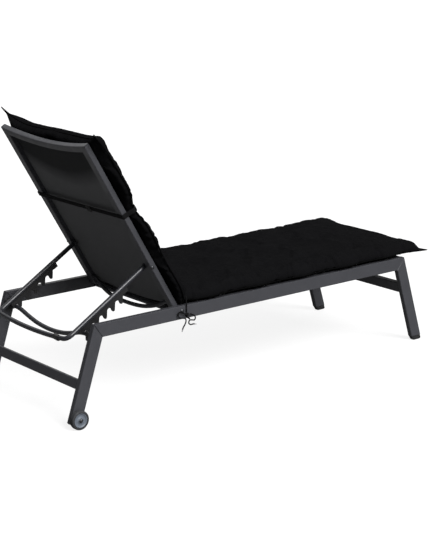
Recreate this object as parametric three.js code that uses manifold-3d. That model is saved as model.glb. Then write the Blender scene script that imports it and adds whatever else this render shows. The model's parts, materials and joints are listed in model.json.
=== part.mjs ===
// Reclining sun lounger: aluminium frame, slung seat and back, toothed support bail, two wheels and a pad.
// Millimetres, +Z up. Inside the model X runs from the rear rail corner (0) to the foot end, Y is across
// (negative Y is the user's right) and the floor is Z = 0. The finished group is centred on X at the end.
import * as THREE from 'three';
import { ConvexGeometry } from 'three/addons/geometries/ConvexGeometry.js';
import { mergeVertices } from 'three/addons/utils/BufferGeometryUtils.js';
import Module from 'manifold-3d';

const wasm = await Module();
wasm.setup();

// ---------------------------------------------------------------- driving dimensions
const gap = 0.3;                 // clearance kept between pieces that touch
const edge = 2;                  // rounding on the long edges of the rectangular tubes

const halfWidth = 315;           // outer faces of the side frames
const wall = 23;                 // thickness of the side frames across the lounger
const innerFace = halfWidth - wall;
const railTop = 369.4;
const railHeight = 50.4;
const railLength = 1540;         // between the two upper outer corners
const rearSlope = 0.336;         // leg rake, horizontal run per unit of drop
const frontSlope = 0.287;
const legWidth = 51.8;           // horizontal width of a leg
const rearLegEnd = 22;           // height of the cut end of the rear legs
const frontLegEnd = 18;

const hingeX = 392;
const hingeZ = 350;
const backAngle = THREE.MathUtils.degToRad(60.3);
const tubeDepth = 22;
const tubeWidth = 34;
const tubeOuter = 283.6;
const tubeInner = tubeOuter - tubeWidth;
const backLength = 771;          // hinge to the top corners of the backrest

const pivotAlong = 209.3;        // hinge to the bail pivot, up the backrest
const pivotBehind = 5;           // bail pivot behind the tube's centre line
const pivotBolt = 3.5;
const bailAngle = THREE.MathUtils.degToRad(31.5);
const bailRadius = 9;
const bailHalfWidth = 238.5;
const bailLength = 416;          // pivot to the cross tube, at its ends
const bailBow = 11;
const bailBend = 30;

const hookBarX = 9;
const hookBarZ = 321;            // height of the hook bar where the racks sit on it
const hookBarRadius = 8.5;
const rackPitch = 42;
const seatRadius = 9.7;
const fingerCount = 5;
const rackThickness = 5;

const wheelRadius = 36;
const wheelWidth = 22;
const axleZ = 36;
const boltRadius = 4;

const padThickness = 70;         // seat half of the pad
const backPadThickness = 62;
const padSeam = 315;             // half width at the seam, half way up
const padFlat = 284;             // half width of the flat top and underside
const padFootX = 1655;
const backPadTop = 782;

// ---------------------------------------------------------------- materials
function finish(color, roughness, metalness) {
  return () => new THREE.MeshStandardMaterial({ color, roughness, metalness });
}
const framePaint = finish(0x4a4c50, 0.5, 0.4);
const rackPaint = finish(0x2b2c2e, 0.5, 0.4);
const slingCloth = finish(0x2e2f32, 0.9, 0);
const padCloth = finish(0x121214, 0.95, 0);
const strapCloth = finish(0x0c0c0d, 0.9, 0);
const capPlastic = finish(0x1b1c1e, 0.6, 0);
const discPlastic = finish(0x5d646e, 0.5, 0);
const tyreRubber = finish(0x202124, 0.9, 0);
const boltSteel = finish(0x9a9da1, 0.35, 0.9);

// ---------------------------------------------------------------- helpers
const model = new THREE.Group();
const backrest = new THREE.Group();
const bail = new THREE.Group();

function put(name, geometry, material, parent = model) {
  const mesh = new THREE.Mesh(geometry, material());
  mesh.name = name;
  parent.add(mesh);
  return mesh;
}

// Both sides of the lounger: the right side is -1 along Y, the left side +1.
const sides = [['right', -1], ['left', 1]];

function outline(points) {
  return new THREE.Shape(points.map(([x, y]) => new THREE.Vector2(x, y)));
}

function roundedRect(width, height, radius) {
  const x = width / 2 - radius;
  const y = height / 2 - radius;
  const shape = new THREE.Shape();
  shape.absarc(x, -y, radius, -Math.PI / 2, 0);
  shape.absarc(x, y, radius, 0, Math.PI / 2);
  shape.absarc(-x, y, radius, Math.PI / 2, Math.PI);
  shape.absarc(-x, -y, radius, Math.PI, 1.5 * Math.PI);
  return shape;
}

function circle(radius) {
  return new THREE.Shape().absarc(0, 0, radius, 0, 2 * Math.PI);
}

// A plate drawn in side view (X, Z), from y0 to y1, with its edges rounded.
function sidePlate(shape, y0, y1, rounding = edge, curveSegments = 6) {
  const geometry = new THREE.ExtrudeGeometry(shape, {
    depth: y1 - y0 - 2 * rounding,
    bevelEnabled: rounding > 0,
    bevelThickness: rounding,
    bevelSize: rounding,
    bevelOffset: -rounding,
    bevelSegments: 1,
    curveSegments,
  });
  geometry.translate(0, 0, rounding);
  geometry.rotateX(Math.PI / 2);
  geometry.translate(0, y1, 0);
  return geometry;
}

// A bar of constant section across the lounger, centred on y = 0.
function crossBar(shape, length, curveSegments = 4) {
  const geometry = new THREE.ExtrudeGeometry(shape, { depth: length, bevelEnabled: false, curveSegments });
  geometry.rotateX(Math.PI / 2);
  geometry.translate(0, length / 2, 0);
  return geometry;
}

function tube(curve, radius, steps, halfSides) {
  const options = { extrudePath: curve, steps, curveSegments: halfSides, bevelEnabled: false };
  return new THREE.ExtrudeGeometry(circle(radius), options);
}

function smoothPath(points) {
  return new THREE.CatmullRomCurve3(points.map((p) => new THREE.Vector3(...p)));
}

// A turned piece about the Y axis, from [radius, y] pairs.
function turned(points, segments = 16) {
  return new THREE.LatheGeometry(points.map(([r, y]) => new THREE.Vector2(r, y)), segments);
}

function toSolid(geometry) {
  const bare = geometry.clone();
  bare.deleteAttribute('normal');
  bare.deleteAttribute('uv');
  const merged = mergeVertices(bare, 1e-3);
  return new wasm.Manifold(new wasm.Mesh({
    numProp: 3,
    vertProperties: new Float32Array(merged.attributes.position.array),
    triVerts: new Uint32Array(merged.index.array),
  }));
}

function toGeometry(solid) {
  const mesh = solid.getMesh();
  const geometry = new THREE.BufferGeometry();
  geometry.setAttribute('position', new THREE.BufferAttribute(mesh.vertProperties, 3));
  geometry.setIndex(new THREE.BufferAttribute(mesh.triVerts, 1));
  const flat = geometry.toNonIndexed();
  flat.computeVertexNormals();
  return flat;
}

// Drills holes along Y at [x, z, radius].
function drilled(geometry, holes) {
  let solid = toSolid(geometry);
  for (const [x, z, radius] of holes) {
    const cutter = new THREE.CylinderGeometry(radius, radius, 4 * halfWidth, 16);
    cutter.translate(x, 0, z);
    solid = solid.subtract(toSolid(cutter));
  }
  return toGeometry(solid);
}

// A domed bolt along Y with its nut, the head towards positive y, as one turned piece.
function bolt(headY, nutY, shank, headRadius, headHeight, nutRadius, nutHeight) {
  return turned([
    [0, nutY - nutHeight],
    [nutRadius, nutY - nutHeight],
    [nutRadius, nutY],
    [shank, nutY],
    [shank, headY],
    [headRadius, headY],
    [headRadius * 0.94, headY + headHeight * 0.5],
    [headRadius * 0.6, headY + headHeight * 0.9],
    [0, headY + headHeight],
  ], 12);
}

// ---------------------------------------------------------------- side frames
const railLow = railTop - railHeight;
const axleX = legWidth / 2 - rearSlope * (railTop - axleZ);

function rearEdge(z) {
  return -rearSlope * (railTop - z);
}

function frontEdge(z) {
  return railLength + frontSlope * (railTop - z);
}

const rearInner = rearEdge(railLow) + legWidth;
const frontInner = frontEdge(railLow) - legWidth;

const railOutline = outline([
  [gap, railTop],
  [rearInner + gap, railLow],
  [frontInner - gap, railLow],
  [railLength - gap, railTop],
]);
const rearLegOutline = outline([
  [0, railTop - gap],
  [rearEdge(rearLegEnd), rearLegEnd],
  [rearEdge(rearLegEnd) + legWidth, rearLegEnd],
  [rearInner, railLow - gap],
]);
const frontLegOutline = outline([
  [railLength, railTop - gap],
  [frontInner, railLow - gap],
  [frontEdge(frontLegEnd) - legWidth, frontLegEnd],
  [frontEdge(frontLegEnd), frontLegEnd],
]);

for (const [side, sign] of sides) {
  const y0 = sign < 0 ? -halfWidth : innerFace;
  const y1 = y0 + wall;
  const rail = sidePlate(railOutline, y0, y1);
  const rearLeg = sidePlate(rearLegOutline, y0, y1);
  put(`rail_${side}`, drilled(rail, [[hingeX, hingeZ, boltRadius + gap]]), framePaint);
  put(`rear_leg_${side}`, drilled(rearLeg, [[axleX, axleZ, boltRadius + gap]]), framePaint);
  put(`front_leg_${side}`, sidePlate(frontLegOutline, y0, y1), framePaint);
}

// ---------------------------------------------------------------- bars between the side frames
const clearSpan = 2 * (innerFace - gap);
const rearBarZ = 154.5;
const frontBarZ = 239.5;
const barDepth = 20;
const hipBarX = 413;
const hipBarZ = 329;
const hipBarRadius = 9;

const rearBar = put('rear_cross_bar', crossBar(roundedRect(barDepth, 36, 3), clearSpan), framePaint);
rearBar.position.set(rearEdge(rearBarZ) + barDepth / 2 + 1, 0, rearBarZ);
rearBar.rotation.y = Math.atan(rearSlope);

const frontBar = put('front_cross_bar', crossBar(roundedRect(barDepth, 45, 3), clearSpan), framePaint);
frontBar.position.set(frontEdge(frontBarZ) - legWidth + barDepth / 2 + 1, 0, frontBarZ);
frontBar.rotation.y = -Math.atan(frontSlope);

const footBarX = railLength - 13;
const footBarHeight = 40;
const footBar = put('foot_end_bar', crossBar(roundedRect(22, footBarHeight, 3), clearSpan), framePaint);
footBar.position.set(footBarX, 0, railTop - footBarHeight / 2);

const hipBar = put('hip_cross_bar', crossBar(circle(hipBarRadius), clearSpan, 8), framePaint);
hipBar.position.set(hipBarX, 0, hipBarZ);

// The hook bar dips in the middle, so that the folded backrest and the user's weight clear it.
const bracketDepth = 20;
const hookBarEnd = innerFace - bracketDepth - 2 * gap;
const hookBarHalf = [[0, 38], [90, 31.5], [153, 18], [205, 4], [bailHalfWidth, 0], [hookBarEnd, 0]];
const hookBarPoints = [
  ...hookBarHalf.slice(1).reverse().map(([y, dip]) => [hookBarX, -y, hookBarZ - dip]),
  ...hookBarHalf.map(([y, dip]) => [hookBarX, y, hookBarZ - dip]),
];
put('hook_bar', tube(smoothPath(hookBarPoints), hookBarRadius, 28, 6), framePaint);

const bracketShape = roundedRect(44, 40, 8);
for (const [side, sign] of sides) {
  const y0 = sign < 0 ? -innerFace + gap : innerFace - gap - bracketDepth;
  const block = sidePlate(bracketShape, y0, y0 + bracketDepth, edge, 3);
  const bracket = put(`hook_bar_bracket_${side}`, block, capPlastic);
  bracket.position.set(hookBarX, 0, hookBarZ + 2);
}

// ---------------------------------------------------------------- seat sling
const slingThickness = 2;
const slingEdge = innerFace - 6;  // leaves room beside the rail for the pad's ties
const seatSlingZ = 359;
const slingStart = hipBarX + 44;  // where the sling comes off the hip bar and runs level
const slingFoot = footBarX - 11 - gap;
const slingRear = hipBarX - 4;
const slingLow = hipBarZ + hipBarRadius + 0.8;
const slingUnder = seatSlingZ - slingThickness;
const seatSlingShape = new THREE.Shape();
seatSlingShape.moveTo(slingRear, slingLow);
seatSlingShape.quadraticCurveTo(hipBarX + 22, slingLow + 2, slingStart, slingUnder);
seatSlingShape.lineTo(slingFoot, slingUnder);
seatSlingShape.lineTo(slingFoot, seatSlingZ);
seatSlingShape.lineTo(slingStart, seatSlingZ);
seatSlingShape.quadraticCurveTo(hipBarX + 20, slingLow + 4, slingRear, slingLow + slingThickness);
put('seat_sling', crossBar(seatSlingShape, 2 * slingEdge, 6), slingCloth);

// ---------------------------------------------------------------- feet and leg ends
const plugInset = 1.5;
for (const [side, sign] of sides) {
  const y0 = (sign < 0 ? -halfWidth : innerFace) + 1;
  const y1 = y0 + wall - 2;
  const frontPlug = outline([
    [frontEdge(frontLegEnd) - legWidth + plugInset, frontLegEnd - gap],
    [frontEdge(0) - legWidth + 5, 4],
    [frontEdge(0) - legWidth + 9, 0],
    [frontEdge(0) - 9, 0],
    [frontEdge(0) - 3, 4],
    [frontEdge(frontLegEnd) - plugInset, frontLegEnd - gap],
  ]);
  put(`front_foot_${side}`, sidePlate(frontPlug, y0, y1, 1.5), capPlastic);
  const rearCap = outline([
    [rearEdge(rearLegEnd) + plugInset, rearLegEnd - gap],
    [rearEdge(rearLegEnd) + 4, rearLegEnd - 4],
    [rearEdge(rearLegEnd) + legWidth - 5, rearLegEnd - 4],
    [rearEdge(rearLegEnd) + legWidth - plugInset, rearLegEnd - gap],
  ]);
  put(`rear_leg_cap_${side}`, sidePlate(rearCap, y0, y1, 1), capPlastic);
}

// ---------------------------------------------------------------- wheels
const wheelInner = halfWidth + 3;
const wheelOuter = wheelInner + wheelWidth;
const rimRadius = 27;
const tyreProfile = [
  [rimRadius + gap, wheelInner],
  [wheelRadius - 3, wheelInner],
  [wheelRadius, wheelInner + 4],
  [wheelRadius, wheelOuter - 4],
  [wheelRadius - 3, wheelOuter],
  [rimRadius + gap, wheelOuter],
  [rimRadius + gap, wheelInner],
];
const discProfile = [
  [boltRadius + gap, wheelInner + 0.5],
  [11, wheelInner + 0.5],
  [11, wheelInner + 6],
  [rimRadius - 4, wheelInner + 6],
  [rimRadius - 4, wheelInner + 1],
  [rimRadius, wheelInner + 1],
  [rimRadius, wheelOuter - 1],
  [rimRadius - 3, wheelOuter - 1],
  [rimRadius - 5, wheelOuter - 4],
  [12, wheelOuter - 4],
  [10, wheelOuter - 1],
  [boltRadius + gap, wheelOuter - 1],
  [boltRadius + gap, wheelInner + 0.5],
];
const axleBolt = bolt(wheelOuter, innerFace - gap, boltRadius, 8, 5, 7, 6);

// A flat ring about the Y axis.
function ring(inner, outer, y0, y1, segments = 16) {
  return turned([[inner, y0], [outer, y0], [outer, y1], [inner, y1], [inner, y0]], segments);
}

const axleWasher = ring(boltRadius + 1, 9, halfWidth + gap, wheelInner);
for (const [side, sign] of sides) {
  const pieces = [
    [`tyre_${side}`, turned(tyreProfile, 28), tyreRubber],
    [`wheel_disc_${side}`, turned(discProfile, 18), discPlastic],
    [`axle_bolt_${side}`, axleBolt, boltSteel],
    [`axle_washer_${side}`, axleWasher, boltSteel],
  ];
  for (const [name, geometry, material] of pieces) {
    const mesh = put(name, geometry, material);
    mesh.position.set(axleX, 0, axleZ);
    mesh.rotation.z = sign < 0 ? Math.PI : 0;
  }
}

// ---------------------------------------------------------------- recline hinge
const hingeBolt = bolt(halfWidth + gap, tubeInner - gap, boltRadius, 9, 4, 7, 6);
const hingeSpacer = ring(boltRadius + gap, 11, tubeOuter + gap, innerFace - gap);
for (const [side, sign] of sides) {
  const pieces = [[`hinge_bolt_${side}`, hingeBolt], [`hinge_spacer_${side}`, hingeSpacer]];
  for (const [name, geometry] of pieces) {
    const mesh = put(name, geometry, boltSteel);
    mesh.position.set(hingeX, 0, hingeZ);
    mesh.rotation.z = sign < 0 ? Math.PI : 0;
  }
}

// ---------------------------------------------------------------- backrest
// The group's local X points down the tubes towards the foot end, local Z points to the front.
backrest.position.set(hingeX, 0, hingeZ);
backrest.rotation.y = backAngle;

const halfDepth = tubeDepth / 2;
const mitre = 33;
const topDip = 28;
const topBarHeight = 26;

const backTubeShape = new THREE.Shape();
backTubeShape.moveTo(-backLength, -halfDepth);
backTubeShape.lineTo(0, -halfDepth);
backTubeShape.absarc(0, 0, halfDepth, -Math.PI / 2, Math.PI / 2);
backTubeShape.lineTo(-backLength, halfDepth);

// Cuts the upper end back towards the inner face, so that the top bar meets it on a mitre.
function mitredTop(geometry, sign) {
  const position = geometry.attributes.position;
  for (let i = 0; i < position.count; i += 1) {
    const inward = tubeOuter - sign * position.getY(i);
    if (position.getX(i) < -backLength / 2) {
      position.setX(i, position.getX(i) + (inward * mitre) / tubeWidth + gap);
    }
  }
  return geometry;
}

for (const [side, sign] of sides) {
  const y0 = sign < 0 ? -tubeOuter : tubeInner;
  const blank = mitredTop(sidePlate(backTubeShape, y0, y0 + tubeWidth), sign);
  const holes = [[0, 0, boltRadius + gap], [-pivotAlong, -pivotBehind, pivotBolt + gap]];
  put(`backrest_tube_${side}`, drilled(blank, holes), framePaint, backrest);
}

const topBarEnd = -backLength + mitre;
const topBarLow = -backLength + 2 * (topDip + topBarHeight) - mitre;
const topBarShape = new THREE.Shape();
topBarShape.moveTo(-backLength, tubeOuter);
topBarShape.quadraticCurveTo(-backLength + 2 * topDip, 0, -backLength, -tubeOuter);
topBarShape.lineTo(topBarEnd, -tubeInner);
topBarShape.quadraticCurveTo(topBarLow, 0, topBarEnd, tubeInner);
const topBar = new THREE.ExtrudeGeometry(topBarShape, {
  depth: tubeDepth - 2 * edge,
  bevelThickness: edge,
  bevelSize: edge,
  bevelOffset: -edge,
  bevelSegments: 1,
  curveSegments: 14,
});
topBar.translate(0, 0, edge - halfDepth);
put('backrest_top_bar', topBar, framePaint, backrest);

const bottomBarRadius = 8;
const bottomBarHalf = [
  [0, 6, -40],
  [110, 2, -34],
  [190, -12, -17],
  [tubeInner - 14, -28.6, -2.9],
  [tubeInner - 1, -29, -2.9],
];
const bottomBarPoints = [
  ...bottomBarHalf.slice(1).reverse().map(([y, x, z]) => [x, -y, z]),
  ...bottomBarHalf.map(([y, x, z]) => [x, y, z]),
];
put('backrest_bottom_bar', tube(smoothPath(bottomBarPoints), bottomBarRadius, 22, 6), framePaint, backrest);

const backSlingFront = 8.5;
const backSlingShape = new THREE.Shape();
const slingHalf = tubeInner - gap;
const slingHem = -14;            // lower edge of the back sling, beside the tubes
backSlingShape.moveTo(topBarEnd + 1, slingHalf);
backSlingShape.quadraticCurveTo(topBarLow + 2, 0, topBarEnd + 1, -slingHalf);
backSlingShape.lineTo(slingHem, -slingHalf);
backSlingShape.quadraticCurveTo(slingHem + 38, 0, slingHem, slingHalf);
const backSling = new THREE.ExtrudeGeometry(backSlingShape, {
  depth: slingThickness,
  bevelEnabled: false,
  curveSegments: 14,
});
backSling.translate(0, 0, backSlingFront - slingThickness);
put('back_sling', backSling, slingCloth, backrest);

// ---------------------------------------------------------------- support bail
// The group's local X points from the cross tube back to the pivots, local Z is the upper side.
const pivotX = hingeX - pivotAlong * Math.cos(backAngle) - pivotBehind * Math.sin(backAngle);
const pivotZ = hingeZ + pivotAlong * Math.sin(backAngle) - pivotBehind * Math.cos(backAngle);
bail.position.set(pivotX, 0, pivotZ);
bail.rotation.y = -bailAngle;

// Pivot bolts run through the backrest tubes, a washer and the flattened ends of the bail.
const pivotHead = bolt(tubeOuter + gap, bailHalfWidth - bailRadius - gap, pivotBolt, 7, 3, 6, 5);
const washerInner = bailHalfWidth + bailRadius + gap;
const pivotWasher = ring(pivotBolt + gap, 7, washerInner, tubeInner - gap, 12);
for (const [side, sign] of sides) {
  const pieces = [[`bail_pivot_bolt_${side}`, pivotHead], [`bail_pivot_washer_${side}`, pivotWasher]];
  for (const [name, geometry] of pieces) {
    const mesh = put(name, geometry, boltSteel);
    mesh.position.set(pivotX, 0, pivotZ);
    mesh.rotation.z = sign < 0 ? Math.PI : 0;
  }
}

const legEnd = bailLength - bailBend;
for (const [side, sign] of sides) {
  const y = sign * bailHalfWidth;
  const path = new THREE.LineCurve3(new THREE.Vector3(0, y, 0), new THREE.Vector3(-legEnd, y, 0));
  const eye = new THREE.CylinderGeometry(bailRadius, bailRadius, 2 * bailRadius - 4, 24);
  eye.translate(0, y, 0);
  const leg = toGeometry(toSolid(tube(path, bailRadius, 1, 6)).add(toSolid(eye)));
  put(`bail_leg_${side}`, drilled(leg, [[0, 0, pivotBolt + gap]]), framePaint, bail);
}

// The cross tube turns out of the legs at both ends and bows slightly in the plane of the bail.
const straight = bailHalfWidth - bailBend;
const crossPath = new THREE.CurvePath();
const corner = (sign) => [
  new THREE.Vector3(-legEnd - gap, sign * bailHalfWidth, 0),
  new THREE.Vector3(-bailLength, sign * bailHalfWidth, 0),
  new THREE.Vector3(-bailLength - 1.5, sign * straight, 0),
];
const bowStart = new THREE.Vector3(-bailLength - 1.5, -straight, 0);
const bowMiddle = new THREE.Vector3(-bailLength - 2 * bailBow, 0, 0);
const bowEnd = new THREE.Vector3(-bailLength - 1.5, straight, 0);
crossPath.add(new THREE.QuadraticBezierCurve3(...corner(-1)));
crossPath.add(new THREE.QuadraticBezierCurve3(bowStart, bowMiddle, bowEnd));
crossPath.add(new THREE.QuadraticBezierCurve3(...corner(1).reverse()));
put('bail_cross_tube', tube(crossPath, bailRadius, 33, 6), framePaint, bail);

// A sleeve joins the two halves of the bail near its right-hand bend.
const collarY = -178;
const collarX = -bailLength - 4.3;
const collarTurn = 0.084;        // follows the bow of the cross tube
const sleeve = ring(bailRadius + 0.6, bailRadius + 2.6, -17, 17);
const collar = put('bail_collar', sleeve, rackPaint, bail);
collar.position.set(collarX, collarY, 0);
collar.rotation.z = collarTurn;

// ---------------------------------------------------------------- toothed racks
// Drawn in side view at rest: every finger hangs straight down and every seat is a round-topped slot.
const seatStepX = rackPitch * Math.cos(bailAngle);
const seatStepZ = rackPitch * Math.sin(bailAngle);
const fingerDrop = 6.4;
const fingerTip = 6.5;

function seat(k) {
  return [hookBarX + k * seatStepX, hookBarZ + k * seatStepZ];
}

// Height of the underside of the bail leg above a point along X.
function legUnderside(x) {
  return pivotZ - (pivotX - x) * Math.tan(bailAngle) - (bailRadius + gap) / Math.cos(bailAngle);
}

const rackShape = new THREE.Shape();
const [seatX, seatZ] = seat(0);
rackShape.moveTo(seatX - 22, legUnderside(seatX - 22));
rackShape.lineTo(seatX - 16, seatZ + 1);
rackShape.lineTo(seatX - seatRadius, seatZ);
for (let k = 0; k < fingerCount; k += 1) {
  const [x, z] = seat(k);
  const tipX = x + seatStepX / 2;
  const tipZ = z - fingerDrop;
  rackShape.absarc(x, z, seatRadius, Math.PI, 0, true);
  rackShape.lineTo(tipX - fingerTip, tipZ + fingerTip);
  rackShape.absarc(tipX, tipZ + fingerTip, fingerTip, Math.PI, 2 * Math.PI);
  const [nextX, nextZ] = seat(k + 1);
  rackShape.lineTo(nextX - seatRadius, k < fingerCount - 1 ? nextZ : nextZ + 6);
}
const [lastX, lastZ] = seat(fingerCount);
rackShape.lineTo(lastX, lastZ + 10);
rackShape.lineTo(lastX + 14, lastZ + 18);
rackShape.lineTo(lastX + 6, legUnderside(lastX + 6));

for (const [side, sign] of sides) {
  const middle = sign * bailHalfWidth;
  const plate = sidePlate(rackShape, middle - rackThickness / 2, middle + rackThickness / 2, 0, 5);
  put(`hook_rack_${side}`, plate, rackPaint);
}

// ---------------------------------------------------------------- pad
// Each half of the pad is a prism with a seam half way up its sides; the two meet on a fold over the hinge.
const foldRun = 0.575;           // slope of the fold, half way between the seat and the back
const padPinch = 26;
const seatPadX = 396.5;
const seatPadZ = railTop + 1.6;
const backPadFold = -19;
const backPadBack = halfDepth + 1;

// Extrudes a shape drawn as (Y, height) along X.
function lengthwise(shape, length, curveSegments = 4) {
  const geometry = new THREE.ExtrudeGeometry(shape, { depth: length, bevelEnabled: false, curveSegments });
  geometry.rotateX(Math.PI / 2);
  geometry.rotateZ(Math.PI / 2);
  return geometry;
}

// One half of the pad, a convex block from x = 0 to length with its underside at z = 0. One end leans
// with the fold; the other is a wedge that narrows to the seam.
function padHalf(length, thickness, foldAt) {
  const towardsFree = foldAt === 0 ? 1 : -1;
  const freeAt = length - foldAt;
  const section = [
    [padFlat, 0],
    [padSeam, thickness / 2],
    [padFlat, thickness],
  ];
  const points = [];
  for (const [y, height] of section) {
    const fromSeam = Math.abs(height / (thickness / 2) - 1);
    for (const side of [-1, 1]) {
      const lean = towardsFree * foldRun * height;
      points.push(new THREE.Vector3(foldAt + lean, side * y, height));
      points.push(new THREE.Vector3(freeAt - towardsFree * padPinch * fromSeam, side * y, height));
    }
  }
  return new ConvexGeometry(points);
}

const seatPad = put('seat_pad', padHalf(padFootX - seatPadX, padThickness, 0), padCloth);
seatPad.position.set(seatPadX, 0, seatPadZ);

const backPadLength = backPadTop + backPadFold;
const backPadBlock = padHalf(backPadLength, backPadThickness, backPadLength);
const backPad = put('back_pad', backPadBlock, padCloth, backrest);
backPad.position.set(-backPadTop, 0, backPadBack);

// An elastic strap holds the pad to the backrest, with a slider on the back.
const strapAt = -462;
const strapWidth = 20;
const strapThickness = 1.8;
const strapBack = -halfDepth - 1;
const strapFront = backPadBack + backPadThickness + 1;

function strapRing(spread) {
  const seamHeight = backPadBack + backPadThickness / 2;
  return [
    [-padFlat - spread, strapBack - spread],
    [padFlat + spread, strapBack - spread],
    [padSeam + 1 + spread, seamHeight],
    [padFlat + spread, strapFront + spread],
    [-padFlat - spread, strapFront + spread],
    [-padSeam - 1 - spread, seamHeight],
  ];
}
const strapShape = outline(strapRing(strapThickness));
strapShape.holes.push(outline(strapRing(0)));
const strap = put('pad_strap', lengthwise(strapShape, strapWidth), strapCloth, backrest);
strap.position.x = strapAt;

const slider = put('strap_slider', lengthwise(roundedRect(26, 4, 1.5), 26), capPlastic, backrest);
slider.position.set(strapAt - 3, -65, strapBack - strapThickness - 2 - gap);

// ---------------------------------------------------------------- pad tie
// One tie on the right rail at the hip: an outer and an inner strand, a knot, and a bow of two looped
// ends. The points are given for the left side and mirrored by rightSide.
const rightSide = -1;
const cordRadius = 2.5;
const tieX = 409.5;
const knotZ = 336;
const knotDepth = 5;
const knotY = halfWidth + gap + knotDepth;
const strandY = halfWidth + cordRadius + gap;
const bowY = knotY + 2.7;

const outerStrand = [
  [tieX, strandY + 1, 402],
  [tieX - 1, strandY + 0.4, 392],
  [tieX, strandY, 376],
  [tieX + 0.5, strandY, 360],
  [tieX, strandY + 0.5, 343.5],
];
const innerStrand = [
  [tieX + 1, strandY + 0.3, 328],
  [tieX + 5, strandY + 0.5, 322],
  [tieX + 12, strandY + 0.3, 316.5],
  [tieX + 18, halfWidth - 3, 314.2],
  [tieX + 21, halfWidth - 12, 314.2],
  [tieX + 22, innerFace + 3, 314.4],
  [tieX + 22, innerFace - 3, 319],
  [tieX + 22, innerFace - 3, 330],
  [tieX + 22, innerFace - 3, 350],
  [tieX + 22, innerFace - 3, 368],
];
const rearBow = [
  [tieX - 8.8, bowY, knotZ + 1],
  [tieX - 18, bowY + 1, knotZ + 8],
  [tieX - 29, bowY + 1, knotZ + 15],
  [tieX - 40, bowY, knotZ + 12],
  [tieX - 42, bowY - 1, knotZ + 1],
  [tieX - 34, bowY, knotZ - 8],
  [tieX - 21, bowY + 1, knotZ - 11],
  [tieX - 10, bowY + 1, knotZ - 15],
  [tieX - 7, bowY, knotZ - 26],
  [tieX - 12, bowY - 1, knotZ - 38],
  [tieX - 20, bowY - 2, knotZ - 50],
  [tieX - 25, bowY - 1, knotZ - 64],
];
const frontBow = [
  [tieX + 8.8, bowY, knotZ],
  [tieX + 18, bowY + 1, knotZ - 2],
  [tieX + 29, bowY + 1, knotZ - 8],
  [tieX + 37, bowY, knotZ - 18],
  [tieX + 33, bowY, knotZ - 27],
  [tieX + 21, bowY + 1, knotZ - 25],
  [tieX + 9, bowY + 1, knotZ - 24],
  [tieX + 6, bowY, knotZ - 35],
  [tieX + 14, bowY, knotZ - 42],
  [tieX + 26, bowY, knotZ - 42],
  [tieX + 40, bowY, knotZ - 44],
];
const cords = [
  ['outer_strand', outerStrand, 10],
  ['inner_strand', innerStrand, 14],
  ['rear_bow', rearBow, 24],
  ['front_bow', frontBow, 20],
];
const knot = put('tie_knot_right', new THREE.SphereGeometry(1, 10, 6), strapCloth);
knot.scale.set(8, knotDepth, 6.5);
knot.position.set(tieX, rightSide * knotY, knotZ);
for (const [name, points, steps] of cords) {
  const path = smoothPath(points.map(([x, y, z]) => [x, rightSide * y, z]));
  put(`tie_${name}_right`, tube(path, cordRadius, steps, 4), strapCloth);
}

// ---------------------------------------------------------------- assembly
const lounger = new THREE.Group();
model.add(backrest, bail);
lounger.add(model);
const extent = new THREE.Box3().setFromObject(model);
model.position.x = -(extent.min.x + extent.max.x) / 2;

export default lounger;
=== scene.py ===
import json
import math
import random

import bpy
import bmesh
import numpy as np
from mathutils import Matrix, Vector
from mathutils.kdtree import KDTree


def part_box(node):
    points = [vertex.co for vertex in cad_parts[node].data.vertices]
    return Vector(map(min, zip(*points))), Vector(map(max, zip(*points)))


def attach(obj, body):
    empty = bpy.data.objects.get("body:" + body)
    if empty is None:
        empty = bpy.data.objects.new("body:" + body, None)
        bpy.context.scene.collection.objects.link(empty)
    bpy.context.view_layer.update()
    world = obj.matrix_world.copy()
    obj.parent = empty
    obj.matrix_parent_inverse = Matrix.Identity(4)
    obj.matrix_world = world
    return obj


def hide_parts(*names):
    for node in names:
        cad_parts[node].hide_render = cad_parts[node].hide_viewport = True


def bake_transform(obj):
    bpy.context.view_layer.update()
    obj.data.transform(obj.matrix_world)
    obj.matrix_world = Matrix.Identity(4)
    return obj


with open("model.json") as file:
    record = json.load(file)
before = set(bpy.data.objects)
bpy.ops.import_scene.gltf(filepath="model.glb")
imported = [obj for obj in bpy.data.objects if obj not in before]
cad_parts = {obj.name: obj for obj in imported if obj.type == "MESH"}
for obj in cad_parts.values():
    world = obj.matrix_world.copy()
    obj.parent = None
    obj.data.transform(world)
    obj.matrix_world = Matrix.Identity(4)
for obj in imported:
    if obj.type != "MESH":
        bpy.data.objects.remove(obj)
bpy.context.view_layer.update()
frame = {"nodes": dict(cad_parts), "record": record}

# Reclining sun lounger. Sizes are in millimetres in the model's own frame: X from the rear rail
# corner to the foot end, Y across, Z up from the floor. spot() turns them into the row frame.
scene = bpy.context.scene
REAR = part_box("rail_right")[0].x - 0.0003
RIGHT_LEFT = (("right", -1), ("left", 1))


def spot(x, y, z):
    return (REAR + x / 1000, y / 1000, z / 1000)


# ---- main dimensions
HALF_WIDTH = 315
INNER_FACE = 292
GAP = 0.3
HINGE = (392, 350)
BACK_TURN = math.radians(60.3)
BACK_LENGTH = 771
TUBE_OUTER = 283.6
TUBE_INNER = 249.6
HALF_DEPTH = 11
PIVOT_ALONG = 209.3
PIVOT_BEHIND = 5
BAIL_TURN = math.radians(31.5)
BAIL_RADIUS = 9
BAIL_HALF = 238.5
BAIL_LENGTH = 416
BAIL_BEND = 30
AXLE = (-86.12, 36)


def on_back(along, y, front):
    """A point on the backrest: along is up from the hinge, front is forward of the tubes' centre."""
    c, s = math.cos(BACK_TURN), math.sin(BACK_TURN)
    return (HINGE[0] - along * c + front * s, y, HINGE[1] + along * s + front * c)


PIVOT = on_back(PIVOT_ALONG, 0, -PIVOT_BEHIND)


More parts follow.
